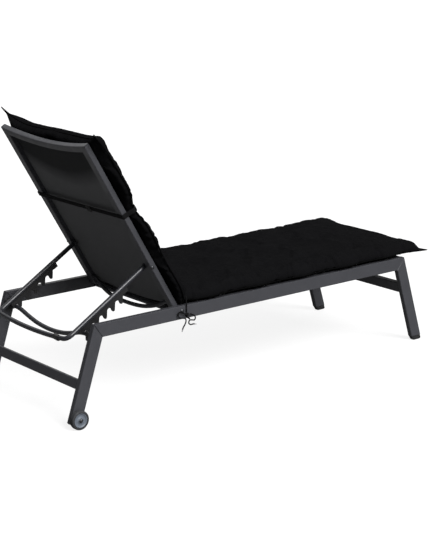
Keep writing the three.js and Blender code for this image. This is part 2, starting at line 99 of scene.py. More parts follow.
def on_bail(along, y, above):
    """A point on the bail: along is down the legs from the pivot, above is towards their upper side."""
    c, s = math.cos(BAIL_TURN), math.sin(BAIL_TURN)
    return (PIVOT[0] - along * c - above * s, y, PIVOT[2] - along * s + above * c)


# ---- camera
def make_camera():
    azimuth, elevation, roll = (math.radians(a) for a in (-37.823, 13.1424, -0.7931))
    target = Vector((0.03717, 0, 0.52371))
    distance = 6.5769
    back = Vector((
        math.sin(azimuth) * math.cos(elevation),
        -math.cos(azimuth) * math.cos(elevation),
        math.sin(elevation),
    ))
    level = Vector((math.cos(azimuth), math.sin(azimuth), 0))
    upright = back.cross(level)
    right = math.cos(roll) * level + math.sin(roll) * upright
    up = -math.sin(roll) * level + math.cos(roll) * upright
    data = bpy.data.cameras.new("camera")
    data.sensor_fit = "AUTO"
    data.sensor_width = 36
    data.lens = 110.414
    data.shift_x = -0.0031
    data.shift_y = -0.0632
    data.clip_end = 200
    camera = bpy.data.objects.new("camera", data)
    scene.collection.objects.link(camera)
    pose = Matrix((right, up, back)).transposed().to_4x4()
    pose.translation = target + back * distance
    camera.matrix_world = pose
    scene.camera = camera


make_camera()


# ---- materials
class Nodes:
    """Short calls for the nodes of a tree."""

    MIX_INPUTS = (0, 6, 7)       # the Mix node's sockets for factor and colours
    MIX_RESULT = 2

    def __init__(self, tree):
        self.tree = tree

    def feed(self, socket, value):
        if isinstance(value, bpy.types.NodeSocket):
            self.tree.links.new(value, socket)
        else:
            socket.default_value = value

    def set(self, node, **values):
        for key, value in values.items():
            self.feed(node.inputs[key.replace("_", " ")], value)
        return node

    def node(self, kind, **values):
        return self.set(self.tree.nodes.new(kind), **values)

    def out(self, kind, output, **values):
        return self.node(kind, **values).outputs[output]

    def place(self, uv=None):
        """Where the pattern is laid: the named UV map, or else the object's own space."""
        if uv:
            node = self.node("ShaderNodeUVMap")
            node.uv_map = uv
            return node.outputs["UV"]
        return self.out("ShaderNodeTexCoord", "Object")

    def seen(self):
        """1 for what the camera sees directly."""
        return self.out("ShaderNodeLightPath", "Is Camera Ray")

    def noise(self, where, scale, detail=3.0):
        return self.out(
            "ShaderNodeTexNoise", "Fac", Vector=where, Scale=scale, Detail=detail, Roughness=0.55)

    def wave(self, where, scale, direction):
        node = self.node("ShaderNodeTexWave", Vector=where, Scale=scale)
        node.bands_direction = direction
        return node.outputs["Fac"]

    def maths(self, operation, a, b=0.0):
        node = self.node("ShaderNodeMath")
        node.operation = operation
        for socket, value in zip(node.inputs, (a, b)):
            self.feed(socket, value)
        return node.outputs[0]

    def ramp(self, factor, stops):
        node = self.node("ShaderNodeValToRGB", Fac=factor)
        elements = node.color_ramp.elements
        while len(elements) < len(stops):
            elements.new(0.5)
        for element, (position, shade) in zip(elements, stops):
            element.position = position
            colour = shade if isinstance(shade, tuple) else (shade, shade, shade)
            element.color = (*colour, 1)
        return node.outputs["Color"]

    def mix(self, factor, a, b, blend="MIX"):
        node = self.node("ShaderNodeMix")
        node.data_type = "RGBA"
        node.blend_type = blend
        for index, value in zip(self.MIX_INPUTS, (factor, a, b)):
            self.feed(node.inputs[index], (*value, 1) if isinstance(value, tuple) else value)
        return node.outputs[self.MIX_RESULT]

    def bump(self, height, distance, strength=1.0, normal=None):
        node = self.node("ShaderNodeBump", Height=height, Distance=distance, Strength=strength)
        if normal is not None:
            self.feed(node.inputs["Normal"], normal)
        return node.outputs["Normal"]

    def edge_wear(self, radius, low, high):
        """0 on flat surface, up to 1 along edges, from how far the rounded normal leans."""
        bevel = self.node("ShaderNodeBevel", Radius=radius)
        bevel.samples = 4
        dot = self.node("ShaderNodeVectorMath")
        dot.operation = "DOT_PRODUCT"
        self.feed(dot.inputs[0], bevel.outputs["Normal"])
        self.feed(dot.inputs[1], self.out("ShaderNodeNewGeometry", "True Normal"))
        lean = self.maths("SUBTRACT", 1.0, dot.outputs["Value"])
        return self.ramp(lean, [(low, 0.0), (high, 1.0)])


class Shader(Nodes):
    """A material around one Principled BSDF."""

    def __init__(self, name, roughness, **sockets):
        self.material = bpy.data.materials.new(name)
        self.material.use_nodes = True
        super().__init__(self.material.node_tree)
        self.bsdf = self.tree.nodes["Principled BSDF"]
        self.set(self.bsdf, Roughness=roughness, **sockets)


WAVE_NODE_BANDS = 20             # the Wave node repeats this many times in 2 pi at scale 1


def powder_coat(name, dark, light, roughness, shine=0.55, texture=0.5):
    """Fine-textured powder coat: a pebbled skin, slightly rubbed along the edges."""
    m = Shader(name, roughness, Specular_IOR_Level=shine)
    where = m.place()
    tone = m.mix(m.noise(where, 9, 4), dark, light)
    worn = tuple(min(1, c * 1.9) for c in light)
    wear = m.maths("MULTIPLY", m.edge_wear(0.0012, 0.02, 0.25), m.noise(where, 60, 3))
    m.set(m.bsdf, Base_Color=m.mix(wear, tone, worn))
    spread = m.ramp(m.noise(where, 35, 3), [(0.3, roughness - 0.07), (0.7, roughness + 0.07)])
    m.set(m.bsdf, Roughness=spread)
    pebbles = m.noise(where, 1400, 2)
    m.set(m.bsdf, Normal=m.bump(pebbles, 0.0002, texture))
    return m.material


def woven(name, dark, light, pitch, roughness, depth=0.0004, shine=0.25, band=None, rumple=0.0):
    """Plain weave of the given thread pitch in metres; the Cloth UV map is laid out in metres.

    band is (start, end, bow): a painted shade darkens the cloth and dims its shine between these
    lengths, and the further from the middle, the later. rumple is the height in metres of the soft
    crumpling of a stuffed cover.
    """
    m = Shader(name, roughness, Specular_IOR_Level=shine)
    where = m.place("Cloth")
    repeats = 2 * math.pi / WAVE_NODE_BANDS / pitch
    across = m.wave(where, repeats, "X")
    along = m.wave(where, repeats, "Y")
    threads = m.maths("MULTIPLY", across, along)
    tone = m.mix(m.noise(where, 14, 4), dark, light)
    pale = tuple(min(1, c * 1.5) for c in light)
    colour = m.mix(m.maths("MULTIPLY", threads, 0.6), tone, pale)
    # Painted shade: a dark stripe on the cloth below the top bar, whose shine is dimmed as well.
    if band:
        start, end, bow = band
        split = m.node("ShaderNodeSeparateXYZ", Vector=where)
        bowed = m.maths("MULTIPLY", m.maths("POWER", split.outputs["X"], 2.0), bow)
        place = m.maths("SUBTRACT", split.outputs["Y"], bowed)
        shade = m.ramp(place, [(start, 1.0), (end, 0.3)])
        colour = m.mix(1.0, colour, shade, "MULTIPLY")
        m.set(m.bsdf, Specular_IOR_Level=m.maths("MULTIPLY", shade, shine))
    m.set(m.bsdf, Base_Color=colour)
    slub = m.noise(where, 900, 2)
    height = m.maths("ADD", threads, m.maths("MULTIPLY", slub, 0.4))
    normal = m.bump(height, depth, 0.6)
    if rumple:
        folds = m.noise(where, 15, 2.5)
        normal = m.bump(folds, rumple, 1.0, normal)
    m.set(m.bsdf, Normal=normal)
    return m.material


def moulded(name, dark, light, roughness, grain=700):
    """Moulded plastic or rubber with a fine grain."""
    m = Shader(name, roughness)
    where = m.place()
    m.set(m.bsdf, Base_Color=m.mix(m.noise(where, 25, 4), dark, light))
    spread = m.ramp(m.noise(where, 60, 3), [(0.3, roughness - 0.08), (0.7, roughness + 0.08)])
    m.set(m.bsdf, Roughness=spread)
    m.set(m.bsdf, Normal=m.bump(m.noise(where, grain, 2), 0.0002, 0.4))
    return m.material


def plated(name):
    """Dark zinc-plated steel with fine turning marks."""
    m = Shader(name, 0.5, Metallic=1.0)
    where = m.place()
    tone = m.mix(m.noise(where, 120, 3), (0.05, 0.051, 0.055), (0.08, 0.081, 0.086))
    m.set(m.bsdf, Base_Color=tone)
    m.set(m.bsdf, Roughness=m.ramp(m.noise(where, 300, 3), [(0.3, 0.42), (0.7, 0.6)]))
    m.set(m.bsdf, Normal=m.bump(m.noise(where, 1500, 2), 0.0001, 0.4))
    return m.material


FRAME_PAINT = powder_coat("frame_paint", (0.028, 0.0286, 0.0335), (0.036, 0.0367, 0.0425), 0.48)
TUBE_PAINT = powder_coat(
    "tube_paint", (0.014, 0.0145, 0.018), (0.019, 0.0196, 0.024), 0.34, shine=0.42, texture=0.12)
RACK_PAINT = powder_coat("rack_paint", (0.006, 0.006, 0.0065), (0.009, 0.009, 0.0095), 0.42)
SLING_SHADES = ((0.078, 0.079, 0.082), (0.098, 0.099, 0.102))
SLING = woven("sling_weave", *SLING_SHADES, 0.0014, 0.75, shine=0.1)
# The back sling's cloth carries a painted shade below the top bar.
BACK_SLING = woven(
    "back_sling_painted_shade_weave", *SLING_SHADES, 0.0014, 0.75, shine=0.1, band=(0.53, 0.605, 1.06))
PAD = woven(
    "pad_weave", (0.0031, 0.0031, 0.0034), (0.0046, 0.0046, 0.0050), 0.0008, 0.9,
    depth=0.0003, shine=0.005, rumple=0.014)
# Darker than the pad: painted shade for the gap between the cover's panels at the seam.
PIPING_PAINTED_SHADE = woven(
    "piping_painted_shade_weave", (0.0012, 0.0012, 0.0013), (0.002, 0.002, 0.0021), 0.0008, 0.95, shine=0.03)
STRAP = woven("strap_weave", (0.003, 0.003, 0.0033), (0.005, 0.005, 0.0053), 0.0016, 0.9, shine=0.1)
CORD_TIP = woven("cord_tip", (0.30, 0.30, 0.30), (0.36, 0.36, 0.36), 0.0016, 0.8)
CAP = moulded("cap_plastic", (0.004, 0.004, 0.0045), (0.007, 0.007, 0.0075), 0.6)
DISC = moulded("disc_plastic", (0.085, 0.10, 0.12), (0.105, 0.12, 0.145), 0.5)
TYRE = moulded("tyre_rubber", (0.012, 0.013, 0.015), (0.020, 0.021, 0.024), 0.75, 400)
BOLT = plated("bolt_steel")

MATERIAL_OF_SLOT = {
    "frame_paint": FRAME_PAINT,
    "rack_paint": RACK_PAINT,
    "sling": SLING,
    "pad_fabric": PAD,
    "strap": STRAP,
    "cap_plastic": CAP,
    "wheel_disc": DISC,
    "tyre": TYRE,
    "bolt": BOLT,
}


# ---- mesh helpers
def add_object(name, data):
    obj = bpy.data.objects.new(name, data)
    scene.collection.objects.link(obj)
    return obj


def closed_mesh(name, points, faces):
    """A mesh with all its faces turned outwards."""
    mesh = bpy.data.meshes.new(name)
    mesh.from_pydata([tuple(p) for p in points], [], faces)
    work = bmesh.new()
    work.from_mesh(mesh)
    bmesh.ops.recalc_face_normals(work, faces=work.faces)
    work.to_mesh(mesh)
    work.free()
    return mesh


def lay_cloth(mesh, uv):
    """Writes the Cloth UV map from (u, v) in metres for each point."""
    layer = mesh.uv_layers.new(name="Cloth")
    corners = np.zeros(len(mesh.loops), int)
    mesh.loops.foreach_get("vertex_index", corners)
    layer.data.foreach_set("uv", np.asarray(uv, np.float32)[corners].ravel())


def piece(name, points, faces, slot, body=None, replaces=(), sharp=40, uv=None, material=None):
    """A mesh piece from points in the row frame. uv gives (u, v) in metres for each point."""
    mesh = closed_mesh(name, points, faces)
    mesh.polygons.foreach_set("use_smooth", [True] * len(mesh.polygons))
    mesh.set_sharp_from_angle(angle=math.radians(sharp))
    if uv is not None:
        lay_cloth(mesh, uv)
    mesh.materials.append(material or MATERIAL_OF_SLOT[slot])
    obj = add_object(name, mesh)
    if body:
        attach(obj, body)
    if replaces:
        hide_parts(*replaces)
    return obj


def grid_faces(rows, columns, wrap=False, loop=False, start=0):
    """Quads between rows of points. wrap closes each row, and loop joins the last row to the first."""
    faces = []
    for i in range(rows if loop else rows - 1):
        here, there = start + i * columns, start + (i + 1) % rows * columns
        for j in range(columns if wrap else columns - 1):
            k = (j + 1) % columns
            faces.append((here + j, here + k, there + k, there + j))
    return faces


def end_faces(rows, columns, start=0):
    """The two caps of a tube made of rings of points."""
    last = start + (rows - 1) * columns
    return [tuple(range(start, start + columns)), tuple(range(last, last + columns))]


def unit_tangents(path):
    """Directions along a closed path of points."""
    tangent = np.roll(path, -1, axis=0) - np.roll(path, 1, axis=0)
    return tangent / np.linalg.norm(tangent, axis=1)[:, None]


def lathe(name, profile, centre, sign, slot, body, replaces=(), segments=56, closed=False):
    """Turns [radius, y] pairs about an axis along Y through centre (x, z), mirrored by sign."""
    points = []
    for radius, y in profile:
        for j in range(segments):
            a = 2 * math.pi * j / segments
            x, z = centre[0] + radius * math.cos(a), centre[1] + radius * math.sin(a)
            points.append(spot(x, sign * y, z))
    faces = grid_faces(len(profile), segments, wrap=True, loop=closed)
    if not closed:
        faces += end_faces(len(profile), segments)
    return piece(name, points, faces, slot, body, replaces, sharp=32)


def between(a, b, low, high, t):
    """The point that t, between low and high, gives on the line from a to b."""
    return a * (high - t) / (high - low) + b * (t - low) / (high - low)


def smooth_path(points, count):
    """count points, evenly spaced, along a centripetal Catmull-Rom curve through the points."""
    p = np.asarray(points, float)
    p = np.vstack([2 * p[0] - p[1], p, 2 * p[-1] - p[-2]])
    fine = []
    for i in range(1, len(p) - 2):
        q = p[i - 1:i + 3]
        steps = np.linalg.norm(np.diff(q, axis=0), axis=1) ** 0.5
        k = np.concatenate([[0], np.cumsum(steps)])
        for t in np.linspace(k[1], k[2], 24, endpoint=False):
            line = [between(q[j], q[j + 1], k[j], k[j + 1], t) for j in range(3)]
            bend = [between(line[j], line[j + 1], k[j], k[j + 2], t) for j in range(2)]
            fine.append(between(*bend, k[1], k[2], t))
    fine.append(p[-2])
    return evenly(np.array(fine), count)


def evenly(points, count):
    """count points at even distances along a polyline."""
    steps = np.linalg.norm(np.diff(points, axis=0), axis=1)
    run = np.concatenate([[0], np.cumsum(steps)])
    wanted = np.linspace(0, run[-1], count)
    return np.stack([np.interp(wanted, run, points[:, k]) for k in range(3)], axis=1)


def bezier(a, b, c, count):
    """count points along the quadratic curve from a to c that b pulls."""
    t = np.linspace(0, 1, count)[:, None]
    a, b, c = (np.array(p, float) for p in (a, b, c))
    return (1 - t) ** 2 * a + 2 * t * (1 - t) * b + t * t * c


def sweep(path, normal, radii, sides=20):
    """Points and faces of an elliptical tube; radii are (along the carried normal, across it)."""
    path = np.asarray(path, float)
    radii = np.broadcast_to(np.asarray(radii, float), (len(path), 2))
    tangent = np.gradient(path, axis=0)
    tangent /= np.linalg.norm(tangent, axis=1)[:, None]
    n = np.array(normal, float)
    points = []
    for p, t, (ra, rb) in zip(path, tangent, radii):
        n = n - t * (n @ t)
        n /= np.linalg.norm(n)
        side = np.cross(t, n)
        for j in range(sides):
            a = 2 * math.pi * j / sides
            points.append(spot(*(p + n * ra * math.cos(a) + side * rb * math.sin(a))))
    return points, grid_faces(len(path), sides, wrap=True) + end_faces(len(path), sides)


def tube(name, path, radius, slot, body, replaces=(), sides=24, uv=False, material=None):
    """A round tube along a path in model millimetres."""
    points, faces = sweep(path, (1, 0, 0), (radius, radius), sides)
    layout = None
    if uv:
        step = np.linalg.norm(np.diff(path, axis=0), axis=1)
        run = np.concatenate([[0], np.cumsum(step)]) / 1000
        layout = [(2 * math.pi * radius * j / sides / 1000, s) for s in run for j in range(sides)]
    return piece(name, points, faces, slot, body, replaces, uv=layout, material=material)


# ---- CAD pieces that stay
for node, obj in frame["nodes"].items():
    slot = next(s["material_slot"] for s in frame["record"]["subparts"] if s["node"] == node)
    obj.data.materials.clear()
    obj.data.materials.append(MATERIAL_OF_SLOT[slot])

RACK_ROUNDING = 0.0007           # metres
for side, _ in RIGHT_LEFT:
    rounding = frame["nodes"][f"hook_rack_{side}"].modifiers.new("rounding", "BEVEL")
    rounding.width = RACK_ROUNDING
    rounding.segments = 2
    rounding.limit_method = "ANGLE"
    rounding.angle_limit = math.radians(50)

# ---- round bars of the frame
def mirrored(half):
    """A row of (y, ...) stations from one side to the other, given from the middle outwards."""
    return [(-station[0], *station[1:]) for station in reversed(half[1:])] + list(half)


HIP_BAR = (413, 329)
HIP_RADIUS = 9
hip = [(HIP_BAR[0], y, HIP_BAR[1]) for y in (GAP - INNER_FACE, INNER_FACE - GAP)]
tube("hip_bar", evenly(np.array(hip), 3), HIP_RADIUS, "frame_paint", "frame", ["hip_cross_bar"],
     material=TUBE_PAINT)

HOOK_BAR = (9, 321)
HOOK_RADIUS = 8.5
HOOK_BLOCK = 20                  # depth of the block that holds each end of the hook bar
HOOK_DIPS = (                    # (y, how far the bar hangs below its seats)
    (0, 38), (90, 31.5), (153, 18), (205, 4), (BAIL_HALF, 0), (INNER_FACE - HOOK_BLOCK - 2 * GAP, 0),
)
hook = smooth_path([(HOOK_BAR[0], y, HOOK_BAR[1] - dip) for y, dip in mirrored(HOOK_DIPS)], 90)
tube("hook_bar_tube", hook, HOOK_RADIUS, "frame_paint", "frame", ["hook_bar"], material=TUBE_PAINT)

# ---- wheels and bolts
WHEEL_IN = HALF_WIDTH + 3        # inner and outer sides of the wheel
WHEEL_OUT = WHEEL_IN + 22
TYRE_HALF = (                    # (radius, depth from the tyre's side)
    (27.3, 0), (31, 0), (33.6, 0.6), (35.3, 2.2), (36, 5), (36, 10), (35.4, 10.6),
)
TYRE_PROFILE = [(radius, WHEEL_IN + depth) for radius, depth in TYRE_HALF]
TYRE_PROFILE += [(radius, WHEEL_OUT - depth) for radius, depth in reversed(TYRE_HALF)]
DISC_BACK = ((4.3, 0.5), (11, 0.5), (11, 6), (23, 6), (23, 1), (27, 1))
DISC_FACE = (                    # (radius, depth from the outer side)
    (27, 1.6), (26.4, 1), (24.5, 1), (22.8, 2), (21.6, 3.6), (20, 4), (13.4, 4), (11.8, 3.2),
    (10.6, 1.4), (9.6, 1), (4.3, 1),
)
DISC_PROFILE = [(radius, WHEEL_IN + depth) for radius, depth in DISC_BACK]
DISC_PROFILE += [(radius, WHEEL_OUT - depth) for radius, depth in DISC_FACE]


def bolt_profile(head_y, nut_y, shank, head, height, nut, nut_height):
    """A domed bolt and its nut; shank, head and nut are radii."""
    angles = np.radians((20, 40, 58, 74, 86))
    dome = [(head * math.cos(a), head_y + height * math.sin(a)) for a in angles]
    return [
        (0.2, nut_y - nut_height), (nut - 0.6, nut_y - nut_height), (nut, nut_y - nut_height + 0.6),
        (nut, nut_y), (shank, nut_y), (shank, head_y), (head - 0.3, head_y), (head, head_y + 0.3),
        *dome,
    ]


def ring_profile(inner, outer, y0, y1):
    cut = 0.4
    rim = outer - cut
    return [(inner, y0), (rim, y0), (outer, y0 + cut), (outer, y1 - cut), (rim, y1), (inner, y1)]


TURNED = 40                      # segments round a bolt or a washer
for side, sign in RIGHT_LEFT:
    wheel = f"wheel_{side}"
    lathe(f"tyre_ring_{side}", TYRE_PROFILE, AXLE, sign, "tyre", wheel, [f"tyre_{side}"], 72, True)
    lathe(f"wheel_hub_{side}", DISC_PROFILE, AXLE, sign, "wheel_disc", wheel, [f"wheel_disc_{side}"],
          64, True)
    pivot = (PIVOT[0], PIVOT[2])
    turned = [
        ("axle_bolt", "frame", AXLE, bolt_profile(WHEEL_OUT, INNER_FACE - GAP, 4, 8, 5, 7, 6)),
        ("hinge_bolt", "frame", HINGE, bolt_profile(HALF_WIDTH + GAP, TUBE_INNER - GAP, 4, 9, 4, 7, 6)),
        ("bail_pivot_bolt", "backrest", pivot,
         bolt_profile(TUBE_OUTER + GAP, BAIL_HALF - BAIL_RADIUS - GAP, 3.5, 7, 3, 6, 5)),
        ("axle_washer", "frame", AXLE, ring_profile(5, 9, HALF_WIDTH + GAP, WHEEL_IN)),
        ("hinge_spacer", "frame", HINGE, ring_profile(4.3, 11, TUBE_OUTER + GAP, INNER_FACE - GAP)),
        ("bail_pivot_washer", "backrest", pivot,
         ring_profile(3.8, 7, BAIL_HALF + BAIL_RADIUS + GAP, TUBE_INNER - GAP)),
    ]
    for name, body, centre, profile in turned:
        lathe(f"{name}_turned_{side}", profile, centre, sign, "bolt", body, [f"{name}_{side}"],
              TURNED, closed=not name.endswith("bolt"))

# ---- backrest bars
BOTTOM_BOW = (                   # (y, how far below the hinge, how far forward)
    (0, 6, -40), (110, 2, -34), (190, -12, -17), (TUBE_INNER - 14, -28.6, -2.9),
    (TUBE_INNER - 1, -29, -2.9),
)
BOTTOM_RADIUS = 8
bottom = smooth_path([on_back(-below, y, front) for y, below, front in mirrored(BOTTOM_BOW)], 80)
tube("bottom_bar_tube", bottom, BOTTOM_RADIUS, "frame_paint", "backrest", ["backrest_bottom_bar"],
     material=TUBE_PAINT)

MITRE = 33                       # height of the top bar at its ends
TOP_HEIGHT = 26                  # and in its middle
TOP_DIP = 28                     # how far its middle is below its ends
TOP_LOW = BACK_LENGTH - 2 * (TOP_DIP + TOP_HEIGHT) + MITRE


def top_bar():
    """The dipped bar between the tubes, with rounded edges, lofted between its outline curves."""
    count = 60
    low = BACK_LENGTH - MITRE
    outer = bezier(
        (BACK_LENGTH, TUBE_OUTER, 0), (BACK_LENGTH - 2 * TOP_DIP, 0, 0), (BACK_LENGTH, -TUBE_OUTER, 0),
        count)
    inner = bezier((low, TUBE_INNER, 0), (TOP_LOW, 0, 0), (low, -TUBE_INNER, 0), count)
    radius = 3.5
    steps = 5                        # points round each corner of the section
    turns = (math.pi, math.pi / 2, 0, -math.pi / 2)
    points = []
    for o, i in zip(outer, inner):
        run = np.linalg.norm(i - o)
        direction = (i - o) / run
        corners = ((radius, -1), (radius, 1), (run - radius, 1), (run - radius, -1))
        for turn, (inset, face) in zip(turns, corners):
            for k in range(steps):
                a = turn + math.pi / 2 - math.pi / 2 * k / (steps - 1)
                across = o + direction * (inset + radius * math.cos(a))
                front = face * (HALF_DEPTH - radius) + radius * math.sin(a)
                points.append(spot(*on_back(across[0], across[1], front)))
    sides = len(turns) * steps
    faces = grid_faces(count, sides, wrap=True) + end_faces(count, sides)
    piece("top_bar", points, faces, "frame_paint", "backrest", ["backrest_top_bar"])


top_bar()

# ---- support bail
BAIL_UP = on_bail(0, 0, 1) - np.array(on_bail(0, 0, 0))
BAIL_CORNER = 1.5                # how far past BAIL_LENGTH the cross tube starts
BAIL_MIDDLE = 22                 # and how far past it the control point of its bow is


def bail_tube():
    """Both legs and the cross tube as one bent tube, its two ends flattened around the pivot bolts."""
    straight = BAIL_HALF - BAIL_BEND
    leg_end = BAIL_LENGTH - BAIL_BEND
    stations = (-8, -7, -5, -2, 2, 6, 10, 14, 20, 26, 34, 60, 200, leg_end)
    leg = np.array([(a, -BAIL_HALF, 0) for a in stations], float)
    end = BAIL_LENGTH + BAIL_CORNER
    bend = bezier(
        (leg_end, -BAIL_HALF, 0), (BAIL_LENGTH, -BAIL_HALF, 0), (end, -straight, 0), 14)[1:]
    bow = bezier(
        (end, -straight, 0), (BAIL_LENGTH + BAIL_MIDDLE, 0, 0), (end, straight, 0), 40)[1:-1]
    half = np.vstack([leg, bend])
    other = half[::-1] * np.array([1, -1, 1])
    local = np.vstack([half, bow, other])
    path = np.array([on_bail(*p) for p in local])
    flat = (                         # (half height, half thickness) from the end inwards
        (3, 3.4), (6, 3.8), (8, 4), (9.4, 4.2), (9.8, 4.4), (9.8, 4.8), (9.6, 5.6), (9.4, 6.6),
        (9.2, 8), (9, 8.8),
    )
    radii = np.full((len(path), 2), float(BAIL_RADIUS))
    for i, half_sizes in enumerate(flat):
        radii[i] = radii[-1 - i] = half_sizes
    piece("bail_tube", *sweep(path, BAIL_UP, radii, 24), "frame_paint", "bail",
          ["bail_leg_right", "bail_leg_left", "bail_cross_tube"], material=TUBE_PAINT)


bail_tube()


def bail_sleeve():
    """The joining sleeve on the cross tube, which follows the tube's slope there."""
    middle, half_length, slope, offset = -178, 17, 0.084, 4.3
    stations = np.linspace(-half_length, half_length, 9)
    path = [on_bail(BAIL_LENGTH + offset - slope * d, middle + d, 0) for d in stations]
    radii = np.full((len(stations), 2), 11.4)
    radii[0] = radii[-1] = 10.2
    piece("bail_sleeve", *sweep(path, BAIL_UP, radii, 24), "rack_paint", "bail", ["bail_collar"])


bail_sleeve()

# ---- slings
def rim_of(index):
    """The points round the edge of a grid, once round, from a (rows, columns) array of indices."""
    return [*index[0, :], *index[1:, -1], *index[-1, -2::-1], *index[-2:0:-1, 0]]


def cloth_panel(name, front, back, uv, shape, body, replaces, material=None):
    """A closed thin panel from the points of two grids, joined round the edge."""
    points = [spot(*p) for p in front + back]
    count = len(front)
    faces = grid_faces(*shape) + grid_faces(*shape, start=count)
    rim = [int(i) for i in rim_of(np.arange(count).reshape(shape))]
    for a, b in zip(rim, rim[1:] + rim[:1]):
        faces.append((a, b, b + count, a + count))
    return piece(name, points, faces, "sling", body, replaces, sharp=60, uv=uv + uv, material=material)


SLING_SIDE = TUBE_INNER - GAP
SLING_HEM = 22                   # height of the doubled cloth at the two ends
SLING_FRONT = 8.4                # in front of the tubes' centre
SLING_THICKNESS = 1.1
SLING_LOW = 14                   # the lower edge at the tubes, up from the hinge
SLING_CURVE = 19                 # how far that edge dips in the middle


def back_sling():
    rows, columns = 90, 60
    across = np.linspace(-SLING_SIDE, SLING_SIDE, columns)
    bow = 1 - (across / SLING_SIDE) ** 2
    top = BACK_LENGTH - MITRE - 1 - (BACK_LENGTH - MITRE - TOP_LOW) * 0.5 * bow
    low = SLING_LOW - SLING_CURVE * bow
    front, back, uv = [], [], []
    for share in np.linspace(0, 1, rows):
        for y, arch, start, end in zip(across, bow, low, top):
            along = start + (end - start) * share
            hem = 0.5 if min(along - start, end - along) < SLING_HEM else 0.0
            face = SLING_FRONT - 1.5 * arch * math.sin(math.pi * share)
            front.append(on_back(along, y, face))
            back.append(on_back(along, y, face - SLING_THICKNESS - hem))
            uv.append((y / 1000, along / 1000))
    obj = cloth_panel("back_sling_cloth", front, back, uv, (rows, columns), "backrest", ["back_sling"],
                      BACK_SLING)


back_sling()

SEAT_SLING_HALF = INNER_FACE - 6
SEAT_SLING_TOP = 358.6


def seat_sling():
    start = bezier((409, 0, 340.3), (433, 0, 342.2), (457, 0, SEAT_SLING_TOP), 10)
    run = np.stack([np.linspace(470, 1515.5, 70), np.zeros(70), np.full(70, SEAT_SLING_TOP)], axis=1)
    line = np.vstack([start, run])
    length = np.concatenate([[0], np.cumsum(np.linalg.norm(np.diff(line, axis=0), axis=1))])
    columns = 50
    across = np.linspace(-SEAT_SLING_HALF, SEAT_SLING_HALF, columns)
    front, back, uv = [], [], []
    for k, (x, _, z) in enumerate(line):
        share = k / (len(line) - 1)
        for y in across:
            face = z - 3 * (1 - (y / SEAT_SLING_HALF) ** 2) * math.sin(math.pi * share)
            front.append((x, y, face))
            back.append((x, y, face - SLING_THICKNESS))
            uv.append((y / 1000, length[k] / 1000))
    obj = cloth_panel("seat_sling_cloth", front, back, uv, (len(line), columns), "frame",
                      ["seat_sling"])


seat_sling()

# ---- pad
# The pad is laid out flat first: u runs along it from the fold (towards the foot end positive, up the
# backrest negative), v across and w up from its underside. folded() then lays it on seat and backrest.
FOLD = (393.8, 371.0)
FOLD_ALONG = 17.3
FOLD_RUN = math.tan(BACK_TURN / 2)
PAD_UP = 737                     # fold to the middle of the top seam
PAD_DOWN = 1250                  # fold to the middle of the foot seam
PAD_HALF = 317                   # mean half width at the seam
EDGE_AT = 318                    # half width that the grid and the side gathers are laid out for
SIDE_ROUNDING = 72
HEAD_ROUNDING = 30
FOOT_ROUNDING = 62
FOOT_UNDERCUT = 150              # the underside rises to the foot seam over this length
STRAP_AT = 452                   # up the backrest from the hinge
STRAP_U = FOLD_ALONG - STRAP_AT
CROWN = (                        # height of the stuffed top along the pad
    (-737, 60), (-632, 64), (-567, 54), (-490, 46), (-435, 34), (-400, 40), (-346, 52),
    (-250, 50), (-120, 56), (0, 62), (60, 66), (700, 66), (1100, 66), (1250, 61),
)
SEAM = ((-737, 34), (-400, 30), (-60, 26), (60, 15), (1000, 15), (1250, 24))  # its height likewise
ROW_PITCH = 230
TUFT_ROWS = (-623, -393, -163, 256, 486, 716, 946)
TUFTS = [(row, y) for row in TUFT_ROWS for y in (-205, 0, 205)]
CELL = 9.5                       # spacing of the simulated cloth's points
EAR_SKIN = 1.6                   # least distance of a face from the seam


def bell(x, width):
    """1 at x = 0, falling away over the given width."""
    return np.exp(-(x / width) ** 2)


def rise(x, low, high):
    """0 up to low, then smoothly up to 1 at high."""
    t = np.clip((x - low) / (high - low), 0, 1)
    return t * t * (3 - 2 * t)


